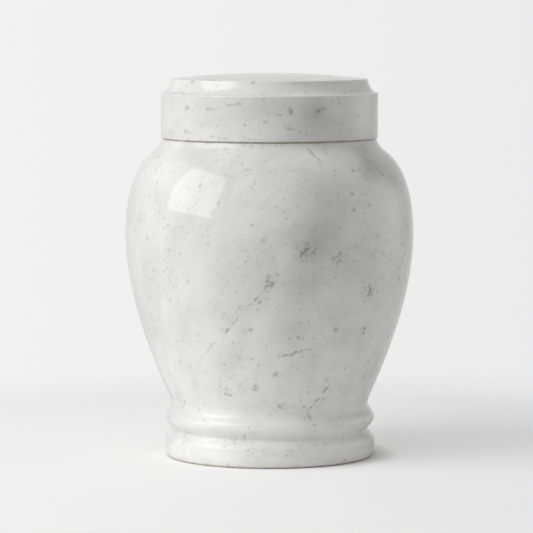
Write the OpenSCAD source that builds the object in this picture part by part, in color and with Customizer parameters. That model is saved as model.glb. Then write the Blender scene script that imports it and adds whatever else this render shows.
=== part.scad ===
// Turned marble cremation urn: a hollow vessel cut from one block, and a lift-off lid.
// Millimetres, +Z up. The origin is the centre of the underside, where the urn rests.
// Both pieces are turned, so each one is a closed outline revolved about Z.

/* [Overall] */
// height of the urn with its lid on, floor to the crown of the lid
urn_h = 266; // [220:1:320]
// widest diameter of the belly
belly_w = 200; // [166:1:240]
// height of the widest point above the floor
belly_h = 154.7; // [125:0.1:186]
// thickness of the stone at the belly and down the flank
wall = 13; // [9:0.5:18]
// thickness of the solid stone under the cavity
floor_t = 28; // [22:1:40]

/* [Foot and bead] */
// diameter of the foot and of the bead above it, which are turned to one width
foot_w = 146; // [120:1:180]
// height of the foot, floor to the groove
foot_h = 19.2; // [15:0.1:24]
// height where the foot's upright band ends and its rounded top starts
foot_band_h = 10; // [7:0.5:13]
// width of the rounding on the foot's lower edge
foot_edge_w = 3.2; // [1:0.1:4]
// height of that rounding
foot_edge_h = 6.4; // [2:0.1:7]
// height of the bead, groove to the waist
bead_h = 18.2; // [14:0.1:23]
// depth of the groove, measured in from the bead
groove_in = 4.8; // [3:0.1:7]
// half the height of the groove's rounded bottom
groove_round = 1; // [0.4:0.1:1.6]
// depth of the waist, measured in from the bead
waist_in = 4.5; // [3:0.1:7]

/* [Neck and mouth] */
// height of the neck cove, shoulder to rim
neck_h = 10.5; // [7:0.5:14]
// how far the neck cove steps out to the shoulder
shoulder_out = 8; // [4:0.5:12]
// bore of the mouth
mouth_w = 112; // [92:0.2:136]
// depth of the straight bore below the rim
mouth_h = 18; // [12:1:26]
// small chamfer on the rim's two edges
rim_edge = 0.5; // [0.2:0.1:1]

/* [Lid] */
// height of the lid above the joint, with its crown
lid_h = 45; // [36:1:56]
// diameter of the lid's band
lid_w = 150.5; // [124:0.1:180]
// height of the band, joint to the step
band_h = 31.6; // [24:0.1:36]
// how far the crown is set in from the band
step_in = 7.2; // [5:0.1:10]
// rise of the crown over its rim
crown_rise = 3.8; // [1:0.1:6]
// rounding of the crown's rim and of the step
lid_edge = 1; // [0.4:0.1:2]
// width of the chamfer round the band's lower edge, which opens the joint line
joint_edge_w = 1; // [0.4:0.1:2]
// height of that chamfer
joint_edge_h = 1.2; // [0.4:0.1:2]
// depth of the ring that drops into the mouth
spigot_h = 9; // [6:0.5:14]
// thickness of that ring
spigot_t = 9; // [6:0.5:14]
// chamfer on the ring's lower outer edge
spigot_edge = 1; // [0.5:0.1:2]
// clearance all round between the ring and the mouth
spigot_gap = 0.6; // [0.3:0.1:1.5]
// stone left over the lid's recess, measured to the crown's rim
lid_top = 15; // [10:0.5:20]
// rounding in the corner of the lid's recess
recess_edge = 6; // [2:0.5:10]

/* [Curves] */
// fullness of the shoulder, 0 for a straight slope to the belly
shoulder_full = 0.477; // [0.3:0.01:0.6]
// fullness of the flank below the belly
flank_full = 0.38; // [0.25:0.01:0.5]
// where the bead is widest, as a share of the way up from the groove
bead_peak = 0.43; // [0.35:0.01:0.6]

/* [Hidden] */
belly_r = belly_w / 2;
foot_r = foot_w / 2;
lid_r = lid_w / 2;
mouth_r = mouth_w / 2;
spigot_r = mouth_r - spigot_gap;
recess_r = spigot_r - spigot_t;
crown_r = lid_r - step_in;
neck_r = lid_r - joint_edge_w;
waist_r = foot_r - waist_in;
groove_r = foot_r - groove_in;
rim_z = urn_h - lid_h;
crown_z = urn_h - crown_rise;
waist_z = foot_h + bead_h;
stone = [0.88, 0.88, 0.86];

// a smooth cubic curve from a to d with its handles ending at b and c, without its first point
function curve(a, b, c, d, n) =
    [for (i = [1:n]) let (t = i / n, u = 1 - t)
        u * u * u * a + 3 * u * u * t * b + 3 * u * t * t * c + t * t * t * d];

// a quarter of an ellipse from a to d that leaves a level when flat is true, else upright
function quarter(a, d, flat, n) =
    [for (i = [1:n]) let (q = 90 * i / n)
        flat
            ? [a[0] + (d[0] - a[0]) * sin(q), a[1] + (d[1] - a[1]) * (1 - cos(q))]
            : [a[0] + (d[0] - a[0]) * (1 - cos(q)), a[1] + (d[1] - a[1]) * sin(q)]];

// a circular arc that starts level on the axis at height z and drops by h at radius r
function crown(r, z, h, n) =
    let (ball = (r * r + h * h) / (2 * h))
    [for (i = [0:n]) let (x = r * i / n) [x, z - ball + sqrt(ball * ball - x * x)]];

// the points that the outside passes through, top to bottom, each as [radius, height]
rim = [neck_r, rim_z - rim_edge];
shoulder = [neck_r + shoulder_out, rim_z - neck_h];
belly = [belly_r, belly_h];
flank = [waist_r + 0.068 * (belly_r - waist_r), waist_z + 0.057 * (belly_h - waist_z)];
waist = [waist_r, waist_z];
bead = [foot_r, foot_h + bead_h * bead_peak];
groove = [groove_r, foot_h];
groove_up = groove + [0.4, 1] * groove_round;
groove_down = groove + [0.4, -1] * groove_round;
band = [foot_r, foot_band_h];
base = [foot_r, foot_edge_h];

// the handles that set the slope where the shoulder starts and where the flank ends
shoulder_way = [(belly_r - shoulder[0]) * 0.65, -(shoulder[1] - belly_h) * 0.17];
flank_way = [-(belly_r - flank[0]) * 0.356, -(belly_h - flank[1]) * 0.207];

function vessel_outside() = concat(
    [rim - [rim_edge, -rim_edge], rim],
    curve(rim, rim + [shoulder_out * 0.16, -neck_h * 0.38], shoulder - shoulder_way * 0.52, shoulder, 8),
    curve(shoulder, shoulder + shoulder_way, belly + [0, (shoulder[1] - belly_h) * shoulder_full], belly, 18),
    curve(belly, belly - [0, (belly_h - flank[1]) * flank_full], flank - flank_way, flank, 18),
    curve(flank, flank + flank_way * 0.12, waist + [0, (flank[1] - waist_z) * 0.34], waist, 6),
    curve(waist, waist - [0, (waist_z - bead[1]) * 0.49], bead + [0, (waist_z - bead[1]) * 0.5], bead, 12),
    curve(bead, bead - [0, (bead[1] - foot_h) * 0.26], groove_up + [1, 1] * groove_in * 0.12, groove_up, 8),
    curve(groove_up, groove + [-0.133, 0.467] * groove_round, groove + [-0.133, -0.467] * groove_round,
        groove_down, 6),
    curve(groove_down, groove_down + [1, -1] * groove_in * 0.5, band + [0, (foot_h - foot_band_h) * 0.52],
        band, 8),
    [base],
    quarter(base, [foot_r - foot_edge_w, 0], false, 6));

// the points that the cavity passes through; down the flank it lies one wall inside the outside
throat = [mouth_r, rim_z - mouth_h];
in_belly = [belly_r - wall, belly_h];
flank_out = [-flank_way[1], flank_way[0]] / norm(flank_way);
in_flank = flank - flank_out * wall;
in_drop = in_flank[1] - floor_t;

function cavity() = concat(
    [[0, rim_z + 1], [mouth_r + rim_edge, rim_z + 1], [mouth_r + rim_edge, rim_z],
        [mouth_r, rim_z - rim_edge], throat],
    curve(throat, throat + [(in_belly[0] - mouth_r) * 0.78, -(throat[1] - belly_h) * 0.08],
        in_belly + [0, (throat[1] - belly_h) * 0.52], in_belly, 14),
    curve(in_belly, in_belly - [0, (belly_h - in_flank[1]) * flank_full], in_flank - flank_way, in_flank, 16),
    curve(in_flank, in_flank + flank_way * 0.3, [in_flank[0] - in_drop * 0.4, floor_t],
        [in_flank[0] - in_drop, floor_t], 8),
    [[0, floor_t]]);

module vessel() {
    color(stone)
        rotate_extrude($fn = 144)
            difference() {
                polygon(concat([[0, 0], [0, rim_z]], vessel_outside()));
                polygon(cavity());
            }
}

// the outside of the lid, from the crown down to the joint
crown_rim = [crown_r, crown_z - lid_edge];
step = [lid_r - lid_edge, rim_z + band_h];
cove_w = step[0] - crown_rim[0];
cove_h = crown_rim[1] - step[1];

function lid_outside() = concat(
    crown(crown_r - lid_edge, urn_h, crown_rise, 16),
    quarter([crown_r - lid_edge, crown_z], crown_rim, true, 5),
    curve(crown_rim, crown_rim + [cove_w * 0.21, -cove_h * 0.56], crown_rim + [cove_w * 0.5, -cove_h * 0.92],
        step, 12),
    quarter(step, step + [lid_edge, -lid_edge], true, 5),
    [[lid_r, rim_z + joint_edge_h], [lid_r - joint_edge_w, rim_z]]);

// the underside of the lid, from the joint in to the recess over the mouth
spigot_z = rim_z - spigot_h;
recess_z = crown_z - lid_top;

function lid_inside() = concat(
    [[spigot_r, rim_z], [spigot_r, spigot_z + spigot_edge], [spigot_r - spigot_edge, spigot_z],
        [recess_r + rim_edge, spigot_z], [recess_r, spigot_z + rim_edge], [recess_r, recess_z - recess_edge]],
    quarter([recess_r, recess_z - recess_edge], [recess_r - recess_edge, recess_z], false, 6),
    [[0, recess_z]]);

module lid() {
    color(stone)
        rotate_extrude($fn = 144)
            polygon(concat(lid_outside(), lid_inside()));
}

vessel();
lid();
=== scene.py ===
import math
import bpy
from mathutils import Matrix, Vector


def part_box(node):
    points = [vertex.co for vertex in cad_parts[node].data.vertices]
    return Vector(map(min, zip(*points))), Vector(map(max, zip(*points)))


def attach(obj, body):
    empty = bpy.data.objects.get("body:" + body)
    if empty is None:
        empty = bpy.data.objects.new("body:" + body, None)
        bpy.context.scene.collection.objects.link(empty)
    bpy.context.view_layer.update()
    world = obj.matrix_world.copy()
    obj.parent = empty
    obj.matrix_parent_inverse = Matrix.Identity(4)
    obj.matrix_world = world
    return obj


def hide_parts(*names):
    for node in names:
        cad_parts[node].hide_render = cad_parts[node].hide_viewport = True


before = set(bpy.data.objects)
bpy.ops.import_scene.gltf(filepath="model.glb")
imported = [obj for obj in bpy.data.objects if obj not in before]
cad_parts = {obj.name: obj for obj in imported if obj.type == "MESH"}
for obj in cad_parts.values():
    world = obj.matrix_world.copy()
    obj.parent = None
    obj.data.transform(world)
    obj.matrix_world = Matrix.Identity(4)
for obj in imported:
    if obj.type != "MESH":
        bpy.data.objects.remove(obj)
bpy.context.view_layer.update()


# ---- Vessel -------------------------------------------------------------------------------------
# The hollow body of the urn: one block of white grey-veined marble, turned on a lathe to a full
# belly over a beaded foot, then bored out through the mouth. The outside is ground and polished
# to a gloss; the cavity is left as the boring tool cut it and the underside is honed flat.

MM = 0.001
_, vessel_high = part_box("vessel")
lid_low, lid_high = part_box("lid")
rim_z = vessel_high.z
# The solids have flat facets, so the stone keeps to the narrower of their two widths.
belly_r = min(vessel_high.x, vessel_high.y)
lid_r = min(lid_high.x, lid_high.y)
belly_h = 154.7 * MM
wall = 13 * MM
floor_t = 28 * MM
foot_r = 73 * MM
foot_h = 19.2 * MM
foot_band_h = 10 * MM
foot_edge_w = 3.2 * MM
foot_edge_h = 6.4 * MM
bead_h = 18.2 * MM
bead_peak = 0.43
groove_in = 4.8 * MM
groove_round = 1 * MM
waist_in = 4.5 * MM
neck_h = 10.5 * MM
shoulder_out = 8 * MM
mouth_r = 56 * MM
mouth_h = 18 * MM
rim_edge = 0.5 * MM
joint_edge_w = 1 * MM

# How the outline bends: where a curve ends and how far its handles reach, as shares of the width
# and height that it spans, or of the curve or the groove beside it.
neck_bend = (0.16, 0.38)
shoulder_bend = (0.65, 0.17)
shoulder_start = 0.52
shoulder_full = 0.477
flank_full = 0.38
flank_bend = (0.356, 0.207)
flank_foot = (0.068, 0.057)
flank_end = 0.12
waist_above = 0.34
waist_below = 0.49
bead_above = 0.5
bead_below = 0.26
groove_lip = 0.12
groove_cut = (0.4, 1.0)
groove_bed = (-0.133, 0.467)
band_start = 0.5
band_end = 0.52
hollow_floor = 0.6
hollow_flank = 0.3
hollow_full = 0.52
throat_bend = (0.78, 0.08)

# The gaps between the outline's points, the gap beside a crisp edge, and the steps of one turn.
fine = 1.1 * MM
coarse = 3.5 * MM
edge_hold = 0.3 * MM
weld = 0.002 * MM
turn_steps = 240

# How the stone is left along its outline.
POLISHED, HONED, TOOLED = 1.0, 0.5, 0.0


def at(radius, height):
    return Vector((radius, height))


def curve(a, b, c, d, gap):
    """A smooth cubic from a to d with its handles ending at b and c, without its first point."""
    count = max(4, round(((b - a).length + (c - b).length + (d - c).length) / gap))
    made = []
    for i in range(1, count + 1):
        t = i / count
        u = 1 - t
        made.append(u * u * u * a + 3 * u * u * t * b + 3 * u * t * t * c + t * t * t * d)
    return made


def quarter(a, d, level, count=8):
    """A quarter of an ellipse from a to d that leaves a level when level is true, else upright."""
    made = []
    for i in range(1, count + 1):
        turn = math.pi / 2 * i / count
        first, last = math.sin(turn), 1 - math.cos(turn)
        along, up = (first, last) if level else (last, first)
        made.append(at(a.x + (d.x - a.x) * along, a.y + (d.y - a.y) * up))
    return made


def straight(a, d, gap):
    """A flat stretch from a to d, with a point close to each end so that its edges stay crisp."""
    way = (d - a).normalized()
    first, last = a + way * edge_hold, d - way * edge_hold
    count = max(1, round((last - first).length / gap))
    return [first + (last - first) * (i / count) for i in range(count + 1)] + [d]


def share_of(span, shares):
    """The step that takes these shares of a span's width and height."""
    return at(span[0] * shares[0], span[1] * shares[1])


neck_r = lid_r - joint_edge_w
waist = at(foot_r - waist_in, foot_h + bead_h)
rim = at(neck_r, rim_z - rim_edge)
shoulder = at(neck_r + shoulder_out, rim_z - neck_h)
belly = at(belly_r, belly_h)
flank = waist + share_of(belly - waist, flank_foot)
bead = at(foot_r, foot_h + bead_h * bead_peak)
groove = at(foot_r - groove_in, foot_h)
groove_up = groove + at(groove_cut[0], groove_cut[1]) * groove_round
groove_down = groove + at(groove_cut[0], -groove_cut[1]) * groove_round
band = at(foot_r, foot_band_h)
base = at(foot_r, foot_edge_h)
shoulder_way = share_of(belly - shoulder, shoulder_bend)
flank_way = share_of(flank - belly, flank_bend)
flank_out = at(-flank_way.y, flank_way.x).normalized()
throat = at(mouth_r, rim_z - mouth_h)
in_belly = at(belly_r - wall, belly_h)
in_flank = flank - flank_out * wall
in_floor = at(in_flank.x - (in_flank.y - floor_t), floor_t)
rim_top = at(neck_r - rim_edge, rim_z)
mouth_top = at(mouth_r + rim_edge, rim_z)

cavity = [at(0, floor_t)] + straight(at(0, floor_t), in_floor, coarse)
cavity += curve(in_floor, in_floor + at(hollow_floor * (in_flank.y - floor_t), 0),
                in_flank + flank_way * hollow_flank, in_flank, coarse)
cavity += curve(in_flank, in_flank - flank_way,
                in_belly - at(0, (belly_h - in_flank.y) * flank_full), in_belly, coarse)
cavity += curve(in_belly, in_belly + at(0, (throat.y - belly_h) * hollow_full),
                throat + share_of(in_belly - throat, throat_bend), throat, coarse)
cavity += straight(throat, at(mouth_r, rim_z - rim_edge), coarse)
seat = quarter(cavity[-1], mouth_top, False, 4) + straight(mouth_top, rim_top, coarse)
outside = quarter(rim_top, rim, True, 5)
outside += curve(rim, rim + share_of((shoulder_out, -neck_h), neck_bend),
                 shoulder - shoulder_way * shoulder_start, shoulder, fine * 0.5)
outside += curve(shoulder, shoulder + shoulder_way,
                 belly + at(0, (shoulder.y - belly_h) * shoulder_full), belly, fine)
outside += curve(belly, belly - at(0, (belly_h - flank.y) * flank_full), flank - flank_way, flank,
                 fine * 1.3)
outside += curve(flank, flank + flank_way * flank_end,
                 waist + at(0, (flank.y - waist.y) * waist_above), waist, fine * 0.6)
outside += curve(waist, waist - at(0, (waist.y - bead.y) * waist_below),
                 bead + at(0, (waist.y - bead.y) * bead_above), bead, fine * 0.6)
outside += curve(bead, bead - at(0, (bead.y - foot_h) * bead_below),
                 groove_up + at(1, 1) * groove_in * groove_lip, groove_up, fine * 0.6)
outside += curve(groove_up, groove + at(groove_bed[0], groove_bed[1]) * groove_round,
                 groove + at(groove_bed[0], -groove_bed[1]) * groove_round, groove_down, fine * 0.25)
outside += curve(groove_down, groove_down + at(1, -1) * groove_in * band_start,
                 band + at(0, (foot_h - foot_band_h) * band_end), band, fine * 0.6)
outside += straight(band, base, fine)
outside += quarter(base, at(foot_r - foot_edge_w, 0), False, 12)
underside = straight(outside[-1], at(0, 0), coarse)
vessel_outline = [(p, TOOLED) for p in cavity] + [(p, HONED) for p in seat]
vessel_outline += [(p, POLISHED) for p in outside] + [(p, HONED) for p in underside]


def add(tree, kind, inputs=None, **settings):
    """Adds a node. A socket among the inputs is linked, and any other value is set."""
    made = tree.nodes.new(kind)
    for key, value in settings.items():
        setattr(made, key, value)
    for key, value in (inputs or {}).items():
        if isinstance(value, bpy.types.NodeSocket):
            tree.links.new(value, made.inputs[key])
        else:
            made.inputs[key].default_value = value
    return made


def math_node(tree, operation, *values, clamp=False):
    """One step of arithmetic on these values or sockets."""
    settings = {"operation": operation, "use_clamp": clamp}
    return add(tree, "ShaderNodeMath", dict(enumerate(values)), **settings).outputs[0]


def lathe_tree():
    """Revolves an outline about Z, as a lathe does, and closes its seam and its poles."""
    tree = bpy.data.node_groups.new("turn_on_the_lathe", "GeometryNodeTree")
    for label, kind, way in (("Outline", "Geometry", "INPUT"), ("Steps", "Int", "INPUT"),
                             ("Weld", "Float", "INPUT"), ("Stone", "Material", "INPUT"),
                             ("Turned", "Geometry", "OUTPUT")):
        tree.interface.new_socket(label, in_out=way, socket_type="NodeSocket" + kind)
    given = tree.nodes.new("NodeGroupInput").outputs
    outline = given["Outline"]
    points = add(tree, "GeometryNodeAttributeDomainSize", {"Geometry": outline}).outputs["Point Count"]
    around = add(tree, "FunctionNodeIntegerMath", {0: given["Steps"], 1: 1}, operation="ADD").outputs[0]
    grid = add(tree, "GeometryNodeMeshGrid", {"Vertices X": around, "Vertices Y": points})
    index = tree.nodes.new("GeometryNodeInputIndex").outputs[0]
    row = add(tree, "FunctionNodeIntegerMath", {0: index, 1: points}, operation="MODULO").outputs[0]
    column = add(tree, "FunctionNodeIntegerMath", {0: index, 1: points}, operation="DIVIDE").outputs[0]
    angle = math_node(tree, "MULTIPLY", math_node(tree, "DIVIDE", column, given["Steps"]), -math.tau)
    place = tree.nodes.new("GeometryNodeInputPosition").outputs[0]
    spot = add(tree, "GeometryNodeSampleIndex", {"Geometry": outline, "Value": place, "Index": row},
               data_type="FLOAT_VECTOR").outputs[0]
    swung = add(tree, "ShaderNodeVectorRotate", {"Vector": spot, "Angle": angle},
                rotation_type="Z_AXIS").outputs[0]
    moved = add(tree, "GeometryNodeSetPosition", {"Geometry": grid.outputs["Mesh"], "Position": swung})
    finish = add(tree, "GeometryNodeInputNamedAttribute", {"Name": "finish"}, data_type="FLOAT")
    worn = add(tree, "GeometryNodeSampleIndex",
               {"Geometry": outline, "Value": finish.outputs["Attribute"], "Index": row},
               data_type="FLOAT").outputs[0]
    kept = add(tree, "GeometryNodeStoreNamedAttribute",
               {"Geometry": moved.outputs[0], "Name": "finish", "Value": worn},
               data_type="FLOAT", domain="POINT").outputs[0]
    joined = add(tree, "GeometryNodeMergeByDistance", {"Geometry": kept, "Distance": given["Weld"]})
    smooth = add(tree, "GeometryNodeSetShadeSmooth", {"Geometry": joined.outputs[0]}).outputs[0]
    real = add(tree, "GeometryNodeRealizeInstances", {"Geometry": smooth}).outputs[0]
    stone = add(tree, "GeometryNodeSetMaterial", {"Geometry": real, "Material": given["Stone"]})
    tree.links.new(stone.outputs[0], tree.nodes.new("NodeGroupOutput").inputs["Turned"])
    return tree


lathe = lathe_tree()


def turned(name, outline, stone):
    """A closed piece of stone revolved from an outline that runs over the top and down the outside."""
    edges = [(i, i + 1) for i in range(len(outline) - 1)]
    mesh = bpy.data.meshes.new(name + "_outline")
    mesh.from_pydata([(p.x, 0, p.y) for p, _ in outline], edges, [])
    finish = mesh.attributes.new("finish", "FLOAT", "POINT")
    finish.data.foreach_set("value", [left for _, left in outline])
    blank = bpy.data.objects.new(name + "_outline", mesh)
    bpy.context.scene.collection.objects.link(blank)
    modifier = blank.modifiers.new("lathe", "NODES")
    modifier.node_group = lathe
    inputs = {s.name: s.identifier for s in lathe.interface.items_tree if s.in_out == "INPUT"}
    for label, value in (("Steps", turn_steps), ("Weld", weld), ("Stone", stone)):
        modifier[inputs[label]] = value
    depsgraph = bpy.context.evaluated_depsgraph_get()
    result = bpy.data.meshes.new_from_object(blank.evaluated_get(depsgraph))
    result.name = name
    result.materials.clear()
    result.materials.append(stone)
    bpy.data.objects.remove(blank)
    piece = bpy.data.objects.new(name, result)
    bpy.context.scene.collection.objects.link(piece)
    return piece


def group(name, takes, gives):
    """An empty shader group with these inputs and outputs, and its own input and output sockets."""
    made = bpy.data.node_groups.new(name, "ShaderNodeTree")
    for label, kind, value in takes:
        socket = made.interface.new_socket(label, in_out="INPUT", socket_type="NodeSocket" + kind)
        socket.default_value = value
    for label, kind in gives:
        made.interface.new_socket(label, in_out="OUTPUT", socket_type="NodeSocket" + kind)
    return made, made.nodes.new("NodeGroupInput").outputs, made.nodes.new("NodeGroupOutput").inputs


def vector_node(tree, operation, inputs, gives="Vector"):
    """One step of arithmetic on vectors, which gives a Vector or a Value."""
    return add(tree, "ShaderNodeVectorMath", inputs, operation=operation).outputs[gives]


def ramp(tree, value, low, high, to_low=0.0, to_high=1.0):
    """A smooth step from to_low to to_high as value goes from low to high."""
    inputs = {"Value": value, "From Min": low, "From Max": high, "To Min": to_low, "To Max": to_high}
    return add(tree, "ShaderNodeMapRange", inputs, interpolation_type="SMOOTHSTEP").outputs[0]


def noise(tree, vector, scale, detail=2.0, roughness=0.5):
    """Soft noise from 0 to 1, with features about 1 / scale millimetres across."""
    inputs = {"Vector": vector, "Scale": scale, "Detail": detail, "Roughness": roughness}
    return add(tree, "ShaderNodeTexNoise", inputs).outputs[0]


def sway(tree, vector, scale, reach):
    """The vector pushed about by a soft noise, so that lines wander and edges turn ragged."""
    inputs = {"Vector": vector, "Scale": scale, "Detail": 3.0}
    bent = add(tree, "ShaderNodeTexNoise", inputs).outputs["Color"]
    push = vector_node(tree, "SUBTRACT", {0: bent, 1: (0.5, 0.5, 0.5)})
    scaled = vector_node(tree, "SCALE", {0: push, "Scale": reach})
    return vector_node(tree, "ADD", {0: vector, 1: scaled})


def closeness(tree, away, reach, edge=1.0, core=0.0):
    """1 where a distance is under core, falling softly to 0 at edge, both as shares of reach."""
    return ramp(tree, math_node(tree, "DIVIDE", away, reach), edge, core)


def speck_group():
    """Small soft grey specks of many sizes, thick in some places and nearly absent in others."""
    waves, wander, smallest, palest = 0.55, 0.8, 0.25, 0.2
    tree, given, gives = group(
        "marble_specks",
        (("Position", "Vector", (0, 0, 0)), ("Spacing", "Float", 3.0), ("Radius", "Float", 0.8),
         ("Share", "Float", 0.3), ("Patch", "Float", 25.0)),
        (("Grey", "Float"),))
    warped = sway(tree, given["Position"], math_node(tree, "DIVIDE", waves, given["Spacing"]),
                  math_node(tree, "MULTIPLY", given["Spacing"], wander))
    cells = add(tree, "ShaderNodeTexVoronoi",
                {"Vector": warped, "Scale": math_node(tree, "DIVIDE", 1.0, given["Spacing"])})
    draw = add(tree, "ShaderNodeSeparateColor", {"Color": cells.outputs["Color"]}).outputs
    patch = noise(tree, given["Position"], math_node(tree, "DIVIDE", 1.0, given["Patch"]),
                  detail=3.0, roughness=0.6)
    share = math_node(tree, "MULTIPLY", given["Share"], ramp(tree, patch, 0.36, 0.6))
    chosen = math_node(tree, "LESS_THAN", draw[0], share)
    size = math_node(tree, "MULTIPLY_ADD", draw[1], 1 - smallest, smallest)
    reach = math_node(tree, "MULTIPLY", given["Radius"], size)
    radius = math_node(tree, "DIVIDE", reach, given["Spacing"])
    spot = closeness(tree, cells.outputs["Distance"], radius)
    depth = math_node(tree, "MULTIPLY_ADD", draw[2], 1 - palest, palest)
    grey = math_node(tree, "MULTIPLY", math_node(tree, "MULTIPLY", spot, chosen), depth)
    tree.links.new(grey, gives["Grey"])
    return tree


def smudge_group():
    """One cluster of dark grains round a centre with a soft grey halo, fading out at a radius."""
    gather, halo = 0.2, 0.1
    tree, given, gives = group(
        "marble_smudge",
        (("Position", "Vector", (0, 0, 0)), ("Centre", "Vector", (0, 0, 0)), ("Radius", "Float", 5.0)),
        (("Grey", "Float"),))
    away = vector_node(tree, "DISTANCE", {0: given["Position"], 1: given["Centre"]}, "Value")
    near = closeness(tree, away, given["Radius"])
    grains = noise(tree, given["Position"], 0.36)
    level = math_node(tree, "MULTIPLY_ADD", near, gather, grains)
    dark = math_node(tree, "MULTIPLY", ramp(tree, level, 0.6, 0.82), near)
    grey = math_node(tree, "MULTIPLY_ADD", near, halo, dark, clamp=True)
    tree.links.new(grey, gives["Grey"])
    return tree


def cloud_and_shade_group():
    """One broad soft grey patch with a ragged edge, for greyer stone and for painted shade."""
    ragged = 0.9
    tree, given, gives = group(
        "marble_cloud_and_shade",
        (("Position", "Vector", (0, 0, 0)), ("Centre", "Vector", (0, 0, 0)), ("Radius", "Float", 25.0)),
        (("Grey", "Float"),))
    warped = sway(tree, given["Position"], 0.05, math_node(tree, "MULTIPLY", given["Radius"], ragged))
    away = vector_node(tree, "DISTANCE", {0: warped, 1: given["Centre"]}, "Value")
    tree.links.new(closeness(tree, away, given["Radius"], edge=1.1), gives["Grey"])
    return tree


def vein_group():
    """A thin wandering vein between two points, broken into stretches that come and go."""
    tree, given, gives = group(
        "marble_vein",
        (("Position", "Vector", (0, 0, 0)), ("From", "Vector", (0, 0, 0)), ("To", "Vector", (0, 0, 0)),
         ("Width", "Float", 0.5), ("Sway", "Float", 2.0)),
        (("Grey", "Float"),))
    warped = sway(tree, given["Position"], 0.16, given["Sway"])
    span = vector_node(tree, "SUBTRACT", {0: given["To"], 1: given["From"]})
    out = vector_node(tree, "SUBTRACT", {0: warped, 1: given["From"]})
    along = vector_node(tree, "DOT_PRODUCT", {0: out, 1: span}, "Value")
    whole = vector_node(tree, "DOT_PRODUCT", {0: span, 1: span}, "Value")
    share = math_node(tree, "DIVIDE", along, whole, clamp=True)
    nearest = vector_node(tree, "SCALE", {0: span, "Scale": share})
    away = vector_node(tree, "DISTANCE", {0: out, 1: nearest}, "Value")
    broken = noise(tree, given["Position"], 0.32, detail=3.0, roughness=0.6)
    width = math_node(tree, "MULTIPLY", given["Width"], ramp(tree, broken, 0.35, 0.68, 0.5, 1.7))
    line = closeness(tree, away, width, edge=1.5, core=0.1)
    worn = ramp(tree, broken, 0.34, 0.55, 0.5, 1.0)
    tree.links.new(math_node(tree, "MULTIPLY", line, worn), gives["Grey"])
    return tree


def figure_group():
    """The broad figure of the marble: soft clouds, a mottle, faint wisps and the sugar of its grain."""
    cloud_depth, mottle_depth, sugar_depth, blotch_depth = 0.55, 0.25, 0.12, 0.55
    gather = 0.2
    wisp_w = 0.016
    tree, given, gives = group("marble_figure", (("Position", "Vector", (0, 0, 0)),),
                               (("Cloud", "Float"), ("Grey", "Float")))
    place = given["Position"]
    broad = noise(tree, place, 0.026, detail=3.0, roughness=0.55)
    broad = ramp(tree, broad, 0.36, 0.68, 0.0, cloud_depth)
    close = noise(tree, place, 0.11, detail=3.0, roughness=0.55)
    close = ramp(tree, close, 0.45, 0.72, 0.0, mottle_depth)
    sugar = math_node(tree, "MULTIPLY", noise(tree, place, 0.9, roughness=0.6), sugar_depth)
    cloud = math_node(tree, "ADD", math_node(tree, "ADD", broad, close), sugar)
    tree.links.new(cloud, gives["Cloud"])
    lines = noise(tree, place, 0.05, detail=4.0, roughness=0.6)
    edge = math_node(tree, "ABSOLUTE", math_node(tree, "SUBTRACT", lines, 0.5))
    some = ramp(tree, noise(tree, place, 0.04), 0.46, 0.62)
    worn = ramp(tree, noise(tree, place, 0.5, detail=3.0, roughness=0.7), 0.45, 0.66)
    wisp = math_node(tree, "MULTIPLY", ramp(tree, edge, wisp_w, 0.0),
                     math_node(tree, "MULTIPLY", some, worn))
    grains = noise(tree, place, 0.3, detail=3.0, roughness=0.6)
    blotch = ramp(tree, math_node(tree, "MULTIPLY_ADD", broad, gather, grains), 0.64, 0.84)
    grey = math_node(tree, "MAXIMUM", wisp, math_node(tree, "MULTIPLY", blotch, blotch_depth))
    tree.links.new(grey, gives["Grey"])
    return tree


def worked_group():
    """How the surface was left: rings from the boring tool, fine scratches or a faintly wavy polish."""
    tool_step = 1.6
    ring_depth, scratch_depth, wave_depth = 0.035, 0.05, 0.012
    tooled_rough, polished_rough, patchy_rough = 0.6, 0.025, 0.03
    tree, given, gives = group(
        "worked_surface",
        (("Position", "Vector", (0, 0, 0)), ("Finish", "Float", 1.0)),
        (("Height", "Float"), ("Rough", "Float")))
    place = given["Position"]
    parts = add(tree, "ShaderNodeSeparateXYZ", {"Vector": place}).outputs
    flat = add(tree, "ShaderNodeCombineXYZ", {"X": parts["X"], "Y": parts["Y"]}).outputs[0]
    reach = vector_node(tree, "LENGTH", {0: flat}, "Value")
    turn = math_node(tree, "MULTIPLY", math_node(tree, "ADD", reach, parts["Z"]), math.tau / tool_step)
    rings = math_node(tree, "MULTIPLY", math_node(tree, "SINE", turn), ring_depth)
    bored = ramp(tree, given["Finish"], 0.4, 0.0)
    honed = ramp(tree, given["Finish"], 0.95, 0.6)
    scratch = math_node(tree, "MULTIPLY", noise(tree, place, 1.3, detail=3.0, roughness=0.7),
                        scratch_depth)
    wave = math_node(tree, "MULTIPLY", noise(tree, place, 0.07), wave_depth)
    height = math_node(tree, "MULTIPLY_ADD", rings, bored,
                       math_node(tree, "MULTIPLY_ADD", scratch, honed, wave))
    tree.links.new(height, gives["Height"])
    rough = math_node(tree, "MULTIPLY_ADD", noise(tree, place, 0.1, detail=3.0), patchy_rough,
                      ramp(tree, given["Finish"], TOOLED, POLISHED, tooled_rough, polished_rough))
    tree.links.new(rough, gives["Rough"])
    return tree


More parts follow.
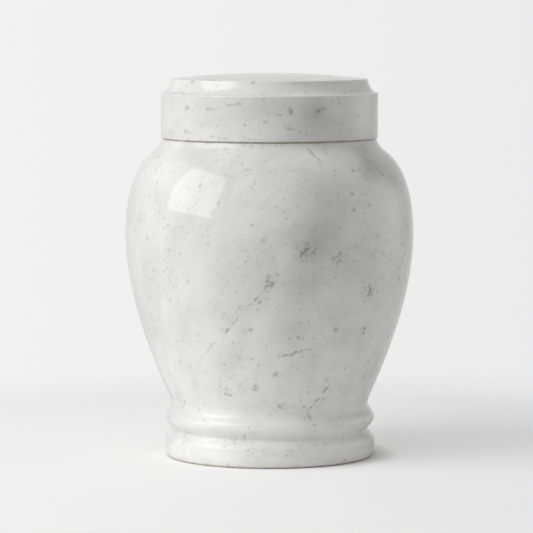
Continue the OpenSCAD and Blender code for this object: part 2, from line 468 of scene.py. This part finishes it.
def shade_and_grime_ring_group():
    """A soft mask round the urn at one height: painted shade, with some grime and wax, in a joint or a
    groove.
    """
    tree, given, gives = group(
        "painted_shade_and_grime_ring",
        (("Position", "Vector", (0, 0, 0)), ("Height", "Float", 0.0), ("Reach", "Float", 1.0)),
        (("Mask", "Float"),))
    z = add(tree, "ShaderNodeSeparateXYZ", {"Vector": given["Position"]}).outputs["Z"]
    away = math_node(tree, "ABSOLUTE", math_node(tree, "SUBTRACT", z, given["Height"]))
    near = closeness(tree, away, given["Reach"], core=0.4)
    patchy = noise(tree, given["Position"], 0.16, detail=3.0, roughness=0.6)
    patchy = ramp(tree, patchy, 0.3, 0.65, 0.55, 1.0)
    tree.links.new(math_node(tree, "MULTIPLY", near, patchy), gives["Mask"])
    return tree


specks, smudge, cloud_and_shade_patch, vein = speck_group(), smudge_group(), cloud_and_shade_group(), vein_group()
figure, worked, shade_and_grime_ring = figure_group(), worked_group(), shade_and_grime_ring_group()

stone_white = (0.79, 0.79, 0.77, 1)
stone_grey = (0.66, 0.663, 0.643, 1)
# Grey for the broad clouds, which are partly painted shade.
cloud_and_shade_grey = (0.3, 0.305, 0.295, 1)
mark_grey = (0.16, 0.168, 0.155, 1)
# Brown for the rings at the joint and the foot: painted shade with some grime.
shade_and_grime_brown = (0.26, 0.2, 0.14, 1)
bed_stretch = (1.2, 1.2, 0.8)
# Specks: spacing and radius in mm, the share of places that hold one, and the size of their patches.
small_specks = {"Spacing": 3.6, "Radius": 2.1, "Share": 0.52, "Patch": 18.0}
large_specks = {"Spacing": 5.8, "Radius": 2.9, "Share": 0.52, "Patch": 30.0}
small_speck_depth = 0.38
large_speck_depth = 0.5
wisp_depth = 0.34


def use(tree, kind, output, inputs):
    """Places a group in a material with its own values, and gives the output asked for."""
    return add(tree, "ShaderNodeGroup", inputs, node_tree=kind).outputs[output]


def blend(tree, share, first, last):
    """Mixes two colours, the second by this share."""
    return add(tree, "ShaderNodeMix", {0: share, 6: first, 7: last}, data_type="RGBA").outputs[2]


def deepen(tree, grey, mark, depth):
    """The grey so far, with one more mark of this depth laid over it."""
    return math_node(tree, "MAXIMUM", grey, math_node(tree, "MULTIPLY", mark, depth))


def marble(name, start, bed, clouds, smudges, veins, rings):
    """White marble read from start in the block, bedded at two angles, with its own marks in mm, broad
    clouds that are partly painted shade, and rings of painted shade with some grime.
    """
    stone = bpy.data.materials.new(name)
    stone.use_nodes = True
    tree = stone.node_tree
    shader = tree.nodes["Principled BSDF"]
    place = tree.nodes.new("ShaderNodeTexCoord").outputs["Object"]
    mm = vector_node(tree, "SCALE", {0: place, "Scale": 1 / MM})
    tilt, turn = bed
    bedded = add(tree, "ShaderNodeMapping",
                 {"Vector": mm, "Location": start, "Scale": bed_stretch,
                  "Rotation": (0, math.radians(tilt), math.radians(turn))},
                 vector_type="TEXTURE").outputs[0]
    small = use(tree, specks, "Grey", {"Position": bedded, **small_specks})
    large = use(tree, specks, "Grey", {"Position": bedded, **large_specks})
    grey = math_node(tree, "MULTIPLY", small, small_speck_depth)
    grey = deepen(tree, grey, large, large_speck_depth)
    grey = deepen(tree, grey, use(tree, figure, "Grey", {"Position": bedded}), wisp_depth)
    for centre, radius, depth in smudges:
        mark = use(tree, smudge, "Grey", {"Position": mm, "Centre": centre, "Radius": radius})
        grey = deepen(tree, grey, mark, depth)
    for first, last, width, wander, depth in veins:
        mark = use(tree, vein, "Grey",
                   {"Position": mm, "From": first, "To": last, "Width": width, "Sway": wander})
        grey = deepen(tree, grey, mark, depth)
    tone = use(tree, figure, "Cloud", {"Position": bedded})
    colour = blend(tree, tone, stone_white, stone_grey)
    # Broad grey clouds, partly painted shade on the side turned away from the softbox.
    for centre, radius, depth in clouds:
        patch = use(tree, cloud_and_shade_patch, "Grey", {"Position": mm, "Centre": centre, "Radius": radius})
        colour = blend(tree, math_node(tree, "MULTIPLY", patch, depth), colour, cloud_and_shade_grey)
    colour = blend(tree, grey, colour, mark_grey)
    # The rings darken the joint and the foot's edge on the floor: painted shade, browned with some
    # grime.
    for height, reach, depth in rings:
        shade_and_grime = use(tree, shade_and_grime_ring, "Mask", {"Position": mm, "Height": height, "Reach": reach})
        colour = blend(tree, math_node(tree, "MULTIPLY", shade_and_grime, depth), colour, shade_and_grime_brown)
    tree.links.new(colour, shader.inputs["Base Color"])
    left = tree.nodes.new("ShaderNodeAttribute")
    left.attribute_name = "finish"
    surface = {"Position": mm, "Finish": left.outputs["Fac"]}
    tree.links.new(use(tree, worked, "Rough", surface), shader.inputs["Roughness"])
    bump = add(tree, "ShaderNodeBump", {"Height": use(tree, worked, "Height", surface), "Distance": MM})
    tree.links.new(bump.outputs[0], shader.inputs["Normal"])
    shader.inputs["IOR"].default_value = 1.5
    shader.inputs["Specular IOR Level"].default_value = 0.4
    shader.inputs["Subsurface Weight"].default_value = 0.25
    shader.inputs["Subsurface Radius"].default_value = (1.0, 0.9, 0.8)
    shader.inputs["Subsurface Scale"].default_value = 3 * MM
    return stone


def on_outside(outline, bearing, height):
    """The place in mm on a turned piece at a height and a bearing, in degrees right of the front."""
    walk = [p for p, finish in outline if finish == POLISHED]
    nearest = min(walk, key=lambda p: abs(p.y - height * MM))
    turn = math.radians(bearing)
    return (nearest.x / MM * math.sin(turn), -nearest.x / MM * math.cos(turn), height)


def spread(outline, marks):
    """Marks given as bearing and height turned into places, with the rest of each mark kept."""
    return [(on_outside(outline, bearing, height), *rest) for bearing, height, *rest in marks]


def strokes(outline, marks):
    """Veins given by the bearings and heights of both ends turned into places."""
    made = []
    for first, last, *rest in marks:
        made.append((on_outside(outline, *first), on_outside(outline, *last), *rest))
    return made


# Clouds and smudges: bearing, height, radius, depth. Veins: both ends, width, wander, depth.
# The clouds on the right are partly painted shade, deepening the side that falls into shade; the two at
# bearings -35 and -2 are grey clouds in the stone.
vessel_clouds_and_shade = (
    (22, 184, 24, 0.22),
    (17, 156, 24, 0.36),
    (13, 126, 20, 0.2),
    (9, 97, 20, 0.18),
    (52, 206, 20, 0.44),
    (62, 194, 14, 0.3),
    (-35, 210, 26, 0.14),
    (-2, 210, 24, 0.12),
)
vessel_smudges = (
    (0, 129, 10.0, 0.6),
    (14, 150, 14.0, 0.6),
    (28, 144, 11.0, 0.45),
    (44, 120, 12.0, 0.5),
    (45, 94, 9.0, 0.7),
    (13, 92, 9.0, 0.4),
    (-24, 52, 11.0, 0.45),
    (-8, 56, 9.0, 0.4),
    (6, 43, 9.0, 0.4),
)
vessel_veins = (
    ((-1, 127), (-15, 101), 0.7, 4.0, 0.5),
    ((-15, 101), (-33, 77), 0.7, 4.0, 0.5),
    ((4, 78), (18, 83), 1.2, 6.0, 0.48),
    ((32, 56), (22, 38), 0.9, 6.0, 0.5),
    ((22, 38), (25, 25), 0.8, 5.0, 0.45),
    ((20, 217), (24, 208), 0.8, 4.0, 0.4),
    ((49, 212), (57, 198), 0.9, 5.0, 0.45),
)
# Rings of painted shade with some grime, at the joint and where the foot meets the floor: height,
# reach, depth.
vessel_shade_and_grime_rings = (
    (rim_z / MM, 1.0, 0.5),
    (0.0, 1.6, 0.7),
)
# Where in the block the vessel is cut, in mm, and how its bed is tilted and turned, in degrees.
vessel_start = (0, 0, 0)
vessel_bed = (53, 124)
vessel_stone = marble("vessel_marble", vessel_start, vessel_bed, spread(vessel_outline, vessel_clouds_and_shade),
                      spread(vessel_outline, vessel_smudges), strokes(vessel_outline, vessel_veins),
                      vessel_shade_and_grime_rings)
vessel = turned("marble_vessel", vessel_outline, vessel_stone)
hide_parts("vessel")
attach(vessel, "root")


# ---- Lid ----------------------------------------------------------------------------------------
# The lift-off lid, turned from a second block of the same marble: an upright band, a hollow step
# and a slightly domed crown, polished. Below the joint a ring drops into the mouth to centre it,
# and its underside is recessed and honed. Only its weight holds it on.

urn_h = lid_high.z
ring_z = lid_low.z
band_h = 31.6 * MM
step_in = 7.2 * MM
crown_rise = 3.8 * MM
lid_edge = 1 * MM
joint_edge_h = 1.2 * MM
ring_t = 9 * MM
ring_edge = 1 * MM
ring_gap = 0.6 * MM
lid_top = 15 * MM
recess_edge = 6 * MM
cove_start = (0.21, 0.56)
cove_end = (0.5, 0.92)

ring_r = mouth_r - ring_gap
recess_r = ring_r - ring_t
crown_r = lid_r - step_in
crown_z = urn_h - crown_rise
recess_z = crown_z - lid_top
crown_rim = at(crown_r, crown_z - lid_edge)
step = at(lid_r - lid_edge, rim_z + band_h)
cove = step - crown_rim


def dome(radius, height, rise, gap):
    """A shallow arc that starts level on the axis at this height and drops by rise at radius."""
    ball = (radius * radius + rise * rise) / (2 * rise)
    count = round(radius / gap)
    reach = [radius * i / count for i in range(count)] + [radius - edge_hold, radius]
    return [at(x, height - ball + math.sqrt(ball * ball - x * x)) for x in reach]


lid_outside = dome(crown_r - lid_edge, urn_h, crown_rise, coarse * 0.7)
lid_outside += quarter(lid_outside[-1], crown_rim, True)
lid_outside += curve(crown_rim, crown_rim + share_of(cove, cove_start),
                     crown_rim + share_of(cove, cove_end), step, fine * 0.35)
lid_outside += quarter(step, at(lid_r, step.y - lid_edge), True)
lid_outside += straight(lid_outside[-1], at(lid_r, rim_z + joint_edge_h), fine)
lid_outside += quarter(lid_outside[-1], at(lid_r - joint_edge_w, rim_z), False, 6)
lid_inside = straight(lid_outside[-1], at(ring_r, rim_z), coarse)
lid_inside += straight(lid_inside[-1], at(ring_r, ring_z + ring_edge), coarse)
lid_inside += quarter(lid_inside[-1], at(ring_r - ring_edge, ring_z), False, 4)
lid_inside += straight(lid_inside[-1], at(recess_r + rim_edge, ring_z), coarse)
lid_inside += quarter(lid_inside[-1], at(recess_r, ring_z + rim_edge), True, 3)
lid_inside += straight(lid_inside[-1], at(recess_r, recess_z - recess_edge), coarse)
lid_inside += quarter(lid_inside[-1], at(recess_r - recess_edge, recess_z), False)
lid_inside += straight(lid_inside[-1], at(0, recess_z), coarse)
lid_outline = [(p, POLISHED) for p in lid_outside] + [(p, HONED) for p in lid_inside]

# The lid's marks, its cloud (partly painted shade on the right), its ring of painted shade with some
# grime at the joint, and its place in the block, listed as the vessel's are.
lid_clouds_and_shade = (
    (24, 240, 16, 0.3),
)
lid_smudges = (
    (26, 242, 7.0, 0.5),
    (11, 242, 6.0, 0.45),
    (-49, 243, 5.5, 0.4),
    (39, 247, 4.0, 0.4),
)
lid_veins = (
    ((-15, 247), (-34, 243), 0.7, 3.0, 0.35),
    ((3, 240), (30, 244), 0.8, 4.0, 0.4),
    ((8, 231), (20, 226), 0.7, 4.0, 0.35),
    ((-32, 225), (-22, 224), 0.6, 3.0, 0.3),
)
lid_shade_and_grime_rings = (
    (rim_z / MM, 1.1, 0.5),
)
lid_start = (310, 120, 40)
lid_bed = (20, 110)
lid_stone = marble("lid_marble", lid_start, lid_bed, spread(lid_outline, lid_clouds_and_shade),
                   spread(lid_outline, lid_smudges), strokes(lid_outline, lid_veins), lid_shade_and_grime_rings)
lid = turned("marble_lid", lid_outline, lid_stone)
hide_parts("lid")
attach(lid, "root")


# ---- Floor --------------------------------------------------------------------------------------
# A plain pale sheet that the urn stands on. Its rim melts into the pale backdrop all round. To the
# eye it is a little paler than it is to the stone, and outside the foot it is blended with the
# backdrop, so the shadow stays light.

sheet_r = 0.75
sheet_fade = (0.14, 0.55)
sheet_blend = 0.45
sheet_blend_r = 1.3 * foot_r
sheet_lit = 0.88
sheet_seen = 0.98
rings = 40
spokes = 96
corners = [(0.0, 0.0, 0.0)]
faces = []
for ring in range(1, rings + 1):
    for spoke in range(spokes):
        angle = math.tau * spoke / spokes
        reach = sheet_r * ring / rings
        corners.append((reach * math.cos(angle), reach * math.sin(angle), 0.0))
        after = (spoke + 1) % spokes
        inner, outer = 1 + (ring - 2) * spokes, 1 + (ring - 1) * spokes
        if ring == 1:
            faces.append((0, outer + spoke, outer + after))
        else:
            faces.append((inner + spoke, outer + spoke, outer + after, inner + after))
sheet_mesh = bpy.data.meshes.new("floor")
sheet_mesh.from_pydata(corners, [], faces)
sheet = bpy.data.objects.new("floor", sheet_mesh)
bpy.context.scene.collection.objects.link(sheet)

sheet_white = bpy.data.materials.new("floor_white")
sheet_white.use_nodes = True
tree = sheet_white.node_tree
shader = tree.nodes["Principled BSDF"]
shader.inputs["Roughness"].default_value = 0.9
shader.inputs["Specular IOR Level"].default_value = 0.1
looked_at = tree.nodes.new("ShaderNodeLightPath").outputs["Is Camera Ray"]
tree.links.new(ramp(tree, looked_at, 0.0, 1.0, sheet_lit, sheet_seen), shader.inputs["Base Color"])
spot = tree.nodes.new("ShaderNodeTexCoord").outputs["Object"]
away = vector_node(tree, "LENGTH", {0: spot}, "Value")
clear = tree.nodes.new("ShaderNodeBsdfTransparent")
mixed = tree.nodes.new("ShaderNodeMixShader")
outside_foot = ramp(tree, away, foot_r, sheet_blend_r, 0.0, sheet_blend)
blended = math_node(tree, "MULTIPLY", looked_at, outside_foot)
tree.links.new(math_node(tree, "MAXIMUM", blended, ramp(tree, away, *sheet_fade)), mixed.inputs[0])
tree.links.new(shader.outputs[0], mixed.inputs[1])
tree.links.new(clear.outputs[0], mixed.inputs[2])
tree.links.new(mixed.outputs[0], tree.nodes["Material Output"].inputs["Surface"])
sheet.data.materials.append(sheet_white)


# ---- Studio light and camera --------------------------------------------------------------------
# A nearly square softbox high on the left, a large dim board standing on the right, a small lamp
# high in front and soft room light, so the polish shows clean edges and one side falls into shade.

middle = Vector((0, 0, 0.15))


def toward(azimuth, elevation):
    """The direction at these angles, in degrees: azimuth 0 is towards the camera, + is right."""
    turn, rise = math.radians(azimuth), math.radians(elevation)
    return Vector((math.sin(turn) * math.cos(rise), -math.cos(turn) * math.cos(rise), math.sin(rise)))


def lamp(name, place, behind, size, radiance):
    """A rectangular light at a place, given the direction behind it and its width and height."""
    light = bpy.data.lights.new(name, "AREA")
    light.shape = "RECTANGLE"
    width, height = size
    light.size = width
    light.size_y = height
    light.energy = radiance * math.pi * width * height
    holder = bpy.data.objects.new(name, light)
    holder.location = place
    holder.rotation_euler = behind.to_track_quat("Z", "Y").to_euler()
    holder.visible_camera = False
    bpy.context.scene.collection.objects.link(holder)
    return holder


softbox_way = toward(-63.5, 30.8)
softbox_away = 1.5
softbox_behind = toward(-77.8, 13.8)
softbox_size = (1.15, 1.1)
softbox_radiance = 2.9
lamp("softbox", middle + softbox_way * softbox_away, softbox_behind, softbox_size, softbox_radiance)

board_place = Vector((1.05, 0, 0.54))
board_size = (1.52, 1.08)
board_radiance = 0.22
board = lamp("board", board_place, toward(90, 0), board_size, board_radiance)
board.visible_diffuse = False

small_lamp_way = toward(10, 56)
small_lamp_away = 1.2
small_lamp_size = (0.03, 0.03)
small_lamp_radiance = 20.0
lamp("small_lamp", middle + small_lamp_way * small_lamp_away, small_lamp_way, small_lamp_size,
     small_lamp_radiance)

world = bpy.data.worlds.new("studio")
world.use_nodes = True
bpy.context.scene.world = world
tree = world.node_tree
direction = tree.nodes.new("ShaderNodeTexCoord").outputs["Generated"]


def glow(lobes):
    """Room light that is strongest in some directions: each has its way, tightness and strength."""
    total = 0.0
    for way, tightness, strength in lobes:
        facing = vector_node(tree, "DOT_PRODUCT", {0: direction, 1: way}, "Value")
        falloff = math_node(tree, "POWER", math_node(tree, "MAXIMUM", facing, 0.0), tightness)
        total = math_node(tree, "MULTIPLY_ADD", falloff, strength, total)
    return total


# Light that shows in the polish: the side and back of the room.
shown = glow((
    (toward(90, 0), 5.0, 0.58),
    (toward(110, 0), 14.0, 0.7),
    (toward(180, 0), 1.0, 0.47),
    (toward(180, 0), 6.0, 0.28),
))
# Light too soft to show in the polish: the front, the left around the softbox, above and the right.
soft = glow((
    (toward(-40, 10), 8.0, 1.35),
    (toward(-63, 31), 10.0, 1.5),
    (toward(-50, 50), 8.0, 0.58),
    (toward(-15, 20), 8.0, 0.3),
    (toward(0, 85), 8.0, 0.52),
    (toward(90, 10), 14.0, 1.15),
))
# The backdrop, which only the camera sees, is paler on the left than on the right.
backdrop_left = 0.89
backdrop_right = 0.83
backdrop_half = 0.12
paths = tree.nodes.new("ShaderNodeLightPath").outputs
not_polish = math_node(tree, "SUBTRACT", 1.0, paths["Is Glossy Ray"])
room = math_node(tree, "MULTIPLY_ADD", soft, not_polish, shown)
room_light = tree.nodes["Background"]
tree.links.new(room, room_light.inputs["Color"])
across = add(tree, "ShaderNodeSeparateXYZ", {"Vector": direction}).outputs["X"]
pale = ramp(tree, across, -backdrop_half, backdrop_half, backdrop_left, backdrop_right)
backdrop = add(tree, "ShaderNodeBackground", {"Color": pale})
both = tree.nodes.new("ShaderNodeMixShader")
tree.links.new(paths["Is Camera Ray"], both.inputs[0])
tree.links.new(room_light.outputs[0], both.inputs[1])
tree.links.new(backdrop.outputs[0], both.inputs[2])
tree.links.new(both.outputs[0], tree.nodes["World Output"].inputs["Surface"])

# The camera stands in front and looks down a little, by this many degrees.
camera_place = (-0.00212, -2.228, 0.32215)
camera_dip = 4.889
lens = bpy.data.cameras.new("camera")
lens.sensor_width = 36.0
lens.lens = 217.15
camera = bpy.data.objects.new("camera", lens)
camera.location = camera_place
camera.rotation_euler = (math.radians(90 - camera_dip), 0, 0)
bpy.context.scene.collection.objects.link(camera)
bpy.context.scene.camera = camera
bpy.context.scene.view_settings.view_transform = "Standard"
